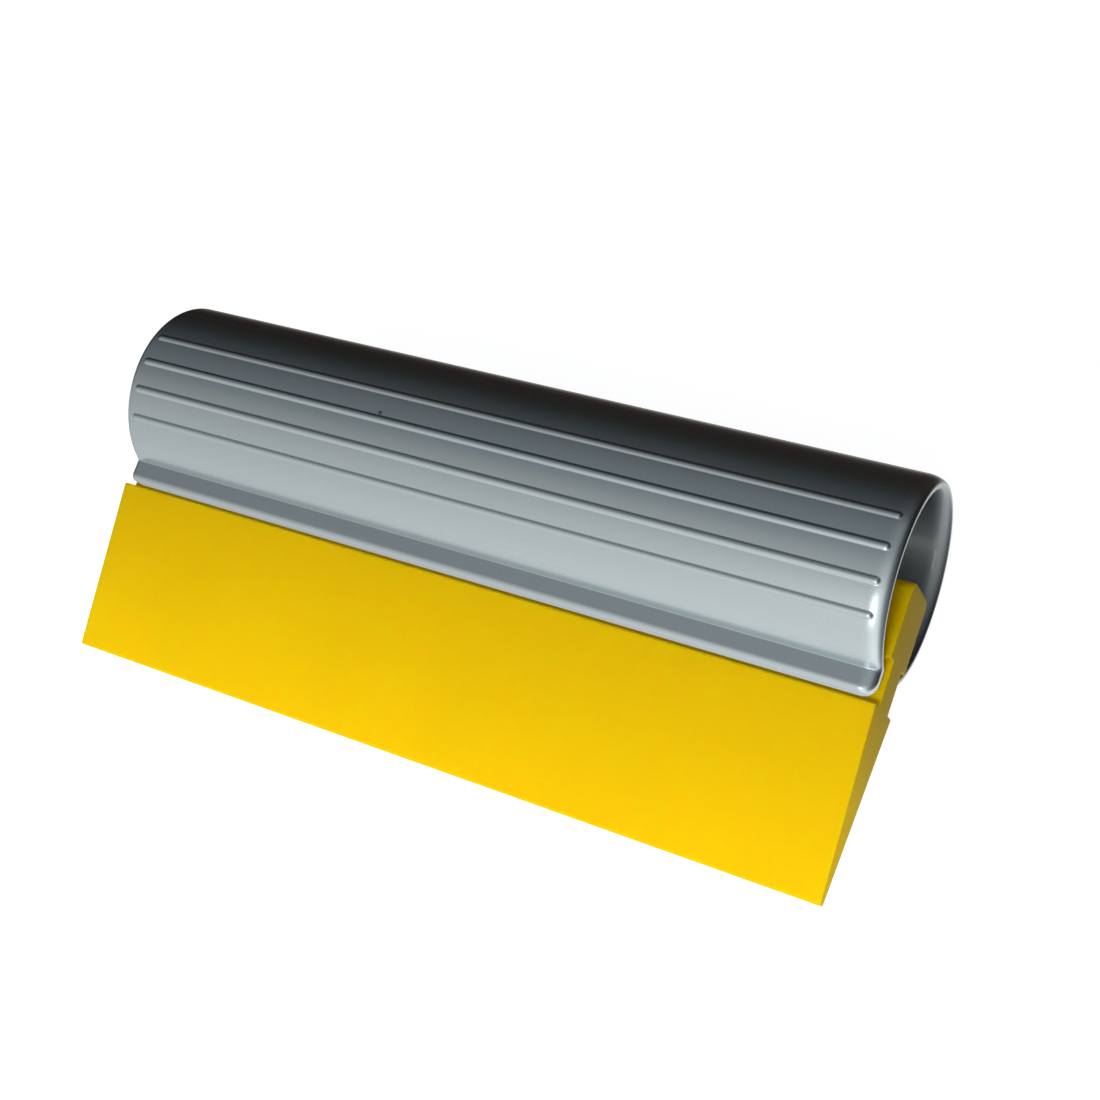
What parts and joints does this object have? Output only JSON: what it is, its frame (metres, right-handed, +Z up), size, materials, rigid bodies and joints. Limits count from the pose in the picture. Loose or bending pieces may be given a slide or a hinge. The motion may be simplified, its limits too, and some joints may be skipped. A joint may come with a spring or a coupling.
{
  "type": "squeegee applicator",
  "caption": "Hand squeegee for pressing down vinyl film: a replaceable tapered rubber blade held in the slot of a hollow tube grip with finger ribs.",
  "frame": {"origin": "on the surface the tool lies on, under the middle of the object's box", "axes": "+X along the tool, +Y from the blade's working edge towards the grip, +Z up from the surface. The tool lies on its back, on the blade's back edge and a back rib of the grip"},
  "size_m": [0.14, 0.0628, 0.0338],
  "materials": {
    "handle": "silver-grey moulded plastic, gloss",
    "blade": "yellow cast polyurethane, satin"
  },
  "bodies": {
    "handle": {"handle": "handle"},
    "blade": {"blade": "blade"}
  },
  "joints": [
    {"name": "blade_slide", "type": "slide", "parent": "handle", "child": "blade", "axis": [1, 0, 0], "range_m": [-0.139, 0.139]}
  ]
}
